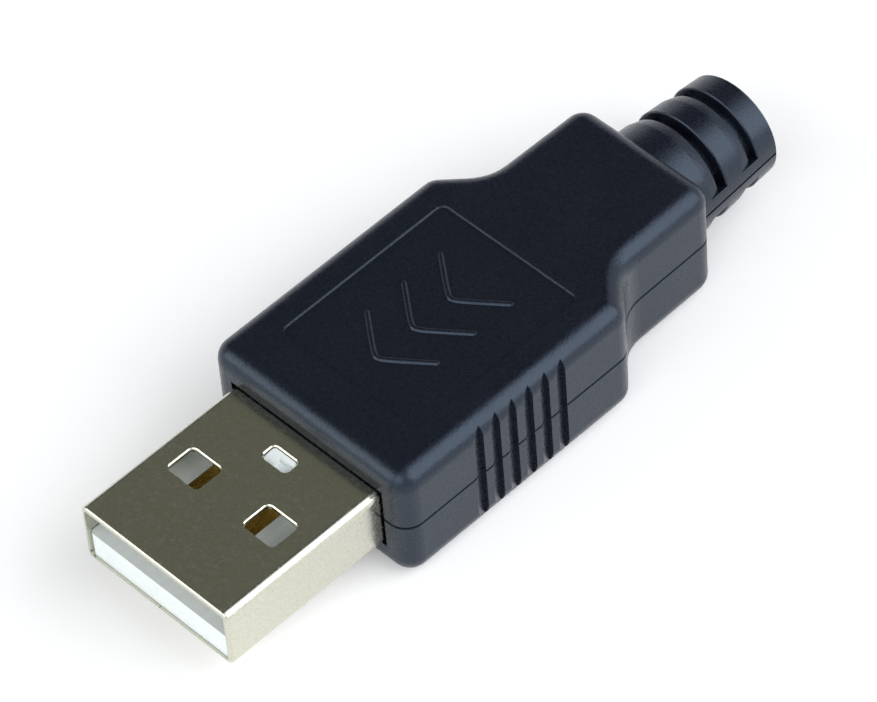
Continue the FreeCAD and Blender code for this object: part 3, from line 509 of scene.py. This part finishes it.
def grid_faces(rows, columns, ring=False):
    """Faces of a grid whose columns close round each row. The rows of a ring close too, and any other
    grid gets a cap at each end. The faces point outwards where the columns run clockwise to someone
    who looks along the rows."""
    row, column = np.meshgrid(np.arange(rows if ring else rows - 1), np.arange(columns), indexing="ij")
    after, beside = (row + 1) % rows, (column + 1) % columns
    corners = [row * columns + column, row * columns + beside,
               after * columns + beside, after * columns + column]
    sides = np.stack(corners, axis=-1).reshape(-1, 4).tolist()
    if ring:
        return sides
    first_cap = list(range(columns))[::-1]
    last_cap = list(range((rows - 1) * columns, rows * columns))
    return sides + [first_cap, last_cap]


def rib_surface(ribs, panel_depth, nose):
    """One rib in the shape of an open arrowhead. Its centre line is a hyperbola: for a place y across the
    plug it stands nose + tan(slope) * (sqrt(y^2 + radius^2) - radius) behind the mouth, which is two
    straight arms joined by a rounded nose. Its section is a trapezium whose flanks lean in by the draft.
    Within half a width of each end the section narrows as a half circle does."""
    foot = HOUSING_TOP - panel_depth - RIB_ROOT
    top = HOUSING_TOP - RIB_CLEARANCE
    tangent = math.tan(ribs.slope)
    # The sine sets the rows closer together towards both ends, where the rib narrows.
    across = ribs.half_span * np.sin(0.5 * math.pi * np.linspace(-1, 1, RIB_ROWS))
    bend = np.sqrt(across ** 2 + ribs.nose_radius ** 2)
    along = nose + tangent * (bend - ribs.nose_radius)
    lean = tangent * across / bend
    length = np.sqrt(1 + lean ** 2)
    side_x, side_y = 1 / length, -lean / length
    half = 0.5 * ribs.width
    left = (ribs.half_span - np.abs(across)) * math.sqrt(1 + tangent ** 2)
    narrow = np.sqrt(1 - (1 - np.clip(left / half, 0, 1)) ** 2)
    narrow = np.maximum(narrow, RIB_END_SHARE)
    # The section runs from its front foot over the top to its rear foot.
    reach = half - FLANK_LEAN * ribs.draft
    offsets = np.concatenate([-reach, reach[::-1]])
    heights = foot + (top - foot) * np.concatenate([FLANK_RISE, FLANK_RISE[::-1]])
    offset = offsets[None, :] * narrow[:, None]
    points = np.stack([along[:, None] + side_x[:, None] * offset,
                       across[:, None] + side_y[:, None] * offset,
                       np.broadcast_to(heights, offset.shape)], axis=-1)
    return points.reshape(-1, 3), grid_faces(*offset.shape)


def rim_surface(panel):
    """The slope round the sunken panel, a closed ring with a three-cornered section. Its path is the
    panel's edge, seen from above a rectangle whose corners are quarter circles, taken anticlockwise. The
    section's corners stand just inside the wall near its top, just inside the wall below the panel's
    floor, and below the floor at the slope's width in from the wall."""
    middle = np.array([panel.front + 0.5 * panel.length, 0.0])
    inset = np.array([0.5 * panel.length - panel.corner, 0.5 * panel.width - panel.corner])
    centres = middle + inset * np.array([[1, 1], [-1, 1], [-1, -1], [1, -1]])
    turns = 0.5 * math.pi * (np.arange(4)[:, None] + np.linspace(0, 1, CORNER_STEPS)[None, :])
    outward = np.stack([np.cos(turns), np.sin(turns)], axis=-1)
    top = HOUSING_TOP - SLOPE_CLEARANCE
    foot = HOUSING_TOP - panel.depth - SLOPE_ROOT
    wall = panel.corner + SLOPE_ROOT
    rings = []
    for radius, height in ((wall, top), (wall, foot), (panel.corner - panel.slope, foot)):
        flat = (centres[:, None, :] + radius * outward).reshape(-1, 2)
        rings.append(np.column_stack([flat, np.full(len(flat), height)]))
    points = np.stack(rings, axis=1)
    rows, columns = points.shape[:2]
    return points.reshape(-1, 3), grid_faces(rows, columns, ring=True)


class PLUG_OT_housing(Operator):
    """Finish both moulded halves of the housing"""
    bl_idname = "plug.housing"
    bl_label = "Housing Halves"

    def execute(self, context):
        dress(["upper_housing", "lower_housing"], spark_eroded_plastic(context.scene.plug_housing))
        return {"FINISHED"}


class PLUG_OT_shell(Operator):
    """Finish the folded sheet-metal shell"""
    bl_idname = "plug.shell"
    bl_label = "Metal Shell"

    def execute(self, context):
        dress(["plug_shell"], nickel_plate(context.scene.plug_shell))
        return {"FINISHED"}


class PLUG_OT_carrier(Operator):
    """Finish the white contact carrier"""
    bl_idname = "plug.carrier"
    bl_label = "Contact Carrier"

    def execute(self, context):
        dress(["contact_carrier"], white_thermoplastic(context.scene.plug_carrier))
        return {"FINISHED"}


class PLUG_OT_contacts(Operator):
    """Finish the four strip contacts"""
    bl_idname = "plug.contacts"
    bl_label = "Contacts"

    def execute(self, context):
        dress(CONTACTS, gold_flash(context.scene.plug_contacts))
        return {"FINISHED"}


class PLUG_OT_direction_ribs(Operator):
    """Raise plain arrowhead ribs in the sunken panel, pointing to the mouth"""
    bl_idname = "plug.direction_ribs"
    bl_label = "Direction Ribs"

    def execute(self, context):
        ribs, panel = context.scene.plug_ribs, context.scene.plug_panel
        for number in range(ribs.count):
            points, faces = rib_surface(ribs, panel.depth, ribs.front + number * ribs.pitch)
            moulded_piece("direction_rib_%d" % (number + 1), points, faces)
        return {"FINISHED"}


class PLUG_OT_panel_rim(Operator):
    """Make the moulded slope round the sunken panel"""
    bl_idname = "plug.panel_rim"
    bl_label = "Panel Rim"

    def execute(self, context):
        points, faces = rim_surface(context.scene.plug_panel)
        moulded_piece("panel_rim", points, faces)
        return {"FINISHED"}


def soft_box(name, direction, side, power, colour):
    """A square area lamp that stands in one direction from the plug's middle and faces it."""
    light = bpy.data.lights.new(name, "AREA")
    light.shape = "SQUARE"
    light.size = side
    light.energy = power
    light.color = colour
    lamp = bpy.data.objects.new(name, light)
    bpy.context.scene.collection.objects.link(lamp)
    line = Vector(direction).normalized()
    lamp.location = PLUG_MIDDLE + LAMP_DISTANCE * line
    lamp.rotation_euler = line.to_track_quat("Z", "Y").to_euler()


def studio_floor(settings):
    """A plain pale floor. It keeps the plug's shadow, and shows a little lighter to the camera and in
    reflections, so that open floor is white. Seen from below it is clear, so the underside can be seen."""
    material, tree, place = new_material("pale_painted_floor")
    patches = add_node(tree, "ShaderNodeTexNoise", {"Vector": place, "Scale": 1 / FLOOR_PATCH})["Fac"]
    paint = add_node(tree, "ShaderNodeMix", {
        MIX_SHARE: patches, MIX_FIRST: opaque(settings.floor),
        MIX_SECOND: opaque(settings.floor_patches)}, data_type="RGBA")[MIX_COLOUR]
    matte = add_node(tree, "ShaderNodeBsdfDiffuse", {"Color": paint})["BSDF"]
    path = add_node(tree, "ShaderNodeLightPath")
    seen = add_node(tree, "ShaderNodeMath", {
        0: path["Is Camera Ray"], 1: path["Is Glossy Ray"]}, operation="MAXIMUM")["Value"]
    seen = add_node(tree, "ShaderNodeMath", {
        0: seen, 1: path["Is Transmission Ray"]}, operation="MAXIMUM")["Value"]
    lift = add_node(tree, "ShaderNodeMath", {0: seen, 1: settings.floor_lift}, operation="MULTIPLY")
    glow = add_node(tree, "ShaderNodeEmission", {"Color": WHITE, "Strength": lift["Value"]})
    lit = add_node(tree, "ShaderNodeAddShader", {0: matte, 1: glow["Emission"]})["Shader"]
    from_below = add_node(tree, "ShaderNodeNewGeometry")["Backfacing"]
    clear = add_node(tree, "ShaderNodeBsdfTransparent")["BSDF"]
    surface = add_node(tree, "ShaderNodeMixShader", {0: from_below, 1: lit, 2: clear})["Shader"]
    add_node(tree, "ShaderNodeOutputMaterial", {"Surface": surface})
    corners = FLOOR_HALF * np.array([[-1, -1], [1, -1], [1, 1], [-1, 1]])
    points = np.column_stack([corners, np.full(4, FLOOR_HEIGHT - FLOOR_GAP)])
    floor = mesh_object("studio_floor", points, [(0, 1, 2, 3)], material)


def studio_walls(settings):
    """Pale walls all round, with one dark opening that the plug's flat tops mirror to the photo's camera.
    The opening is a circle drawn out along the plug, with a rim of another colour."""
    world = bpy.data.worlds.new("studio_walls")
    world.use_nodes = True
    tree = world.node_tree
    tree.nodes.clear()
    direction = add_node(tree, "ShaderNodeTexCoord")["Generated"]
    drawn_out = add_node(tree, "ShaderNodeVectorMath", {
        0: direction, 1: (OPENING_STRETCH, 1.0, 1.0)}, operation="MULTIPLY")["Vector"]
    unit = add_node(tree, "ShaderNodeVectorMath", {0: drawn_out}, operation="NORMALIZE")["Vector"]
    nearness = add_node(tree, "ShaderNodeVectorMath", {
        0: unit, 1: OPENING_DIRECTION}, operation="DOT_PRODUCT")["Value"]
    angle = add_node(tree, "ShaderNodeMath", {0: nearness}, operation="ARCCOSINE")["Value"]
    in_rim = add_node(tree, "ShaderNodeMapRange", {
        "Value": angle, "From Min": RIM_INNER - RIM_SOFTNESS, "From Max": RIM_INNER})["Result"]
    outside = add_node(tree, "ShaderNodeMapRange", {
        "Value": angle, "From Min": RIM_OUTER, "From Max": RIM_OUTER + RIM_SOFTNESS})["Result"]
    colour = add_node(tree, "ShaderNodeMix", {
        MIX_SHARE: in_rim, MIX_FIRST: opaque(settings.opening),
        MIX_SECOND: opaque(settings.shade)}, data_type="RGBA")[MIX_COLOUR]
    colour = add_node(tree, "ShaderNodeMix", {
        MIX_SHARE: outside, MIX_FIRST: colour,
        MIX_SECOND: opaque(settings.wall)}, data_type="RGBA")[MIX_COLOUR]
    background = add_node(tree, "ShaderNodeBackground", {
        "Color": colour, "Strength": settings.wall_strength})["Background"]
    add_node(tree, "ShaderNodeOutputWorld", {"Surface": background})
    bpy.context.scene.world = world


def photo_camera(settings):
    """The camera of the photograph, worked out from its turn, height and roll. Back points from the
    target to the camera, and right and up span the picture plane."""
    turn, height, roll = settings.camera_turn, settings.camera_height, settings.camera_roll
    level_back = Vector((math.sin(turn), -math.cos(turn), 0))
    back = math.cos(height) * level_back + math.sin(height) * Vector((0, 0, 1))
    level = Vector((math.cos(turn), math.sin(turn), 0))
    upright = back.cross(level)
    right = math.cos(roll) * level + math.sin(roll) * upright
    up = math.cos(roll) * upright - math.sin(roll) * level
    data = bpy.data.cameras.new("photo_camera")
    data.sensor_width = SENSOR_WIDTH
    data.sensor_fit = "HORIZONTAL"
    data.lens = settings.focal_pixels / PHOTO_WIDTH * SENSOR_WIDTH
    data.clip_start = CAMERA_CLIP
    camera = bpy.data.objects.new("photo_camera", data)
    bpy.context.scene.collection.objects.link(camera)
    place = Vector((settings.target_x, 0, 0)) + settings.camera_right * right
    place += settings.camera_up * up + settings.camera_distance * back
    axes = Matrix((right, up, back)).transposed().to_4x4()
    camera.matrix_world = Matrix.Translation(place) @ axes
    bpy.context.scene.camera = camera


class PLUG_OT_studio(Operator):
    """Set up the floor, the soft light and the camera"""
    bl_idname = "plug.studio"
    bl_label = "Studio"

    def execute(self, context):
        settings = context.scene.plug_studio
        studio_floor(settings)
        studio_walls(settings)
        for lamp in SOFT_BOXES:
            soft_box(*lamp)
        photo_camera(settings)
        context.scene.view_settings.view_transform = "Standard"
        return {"FINISHED"}


OPERATORS = (PLUG_OT_housing, PLUG_OT_shell, PLUG_OT_carrier, PLUG_OT_contacts, PLUG_OT_direction_ribs,
             PLUG_OT_panel_rim, PLUG_OT_studio)
SETTINGS = {
    "plug_housing": HousingFinish,
    "plug_shell": ShellFinish,
    "plug_carrier": CarrierFinish,
    "plug_contacts": ContactFinish,
    "plug_ribs": DirectionRibs,
    "plug_panel": SunkenPanel,
    "plug_studio": StudioSettings,
}


class PLUG_PT_sidebar(Panel):
    """The plug's pieces and studio in the sidebar"""
    bl_idname = "PLUG_PT_sidebar"
    bl_label = "Cable Plug"
    bl_space_type = "VIEW_3D"
    bl_region_type = "UI"
    bl_category = "Cable Plug"

    def draw(self, context):
        for operator in OPERATORS:
            self.layout.operator(operator.bl_idname)


CLASSES = (*SETTINGS.values(), *OPERATORS, PLUG_PT_sidebar)


def register():
    """Registers the classes and gives the scene one set of values for each property group."""
    for each in CLASSES:
        bpy.utils.register_class(each)
    for name, group in SETTINGS.items():
        setattr(bpy.types.Scene, name, PointerProperty(type=group))


def unregister():
    """Takes away what register added, in the opposite order."""
    for name in SETTINGS:
        delattr(bpy.types.Scene, name)
    for each in reversed(CLASSES):
        bpy.utils.unregister_class(each)


def main():
    register()
    bpy.ops.plug.housing()
    bpy.ops.plug.shell()
    bpy.ops.plug.carrier()
    bpy.ops.plug.contacts()
    bpy.ops.plug.direction_ribs()
    bpy.ops.plug.panel_rim()
    bpy.ops.plug.studio()


if __name__ == "__main__":
    main()
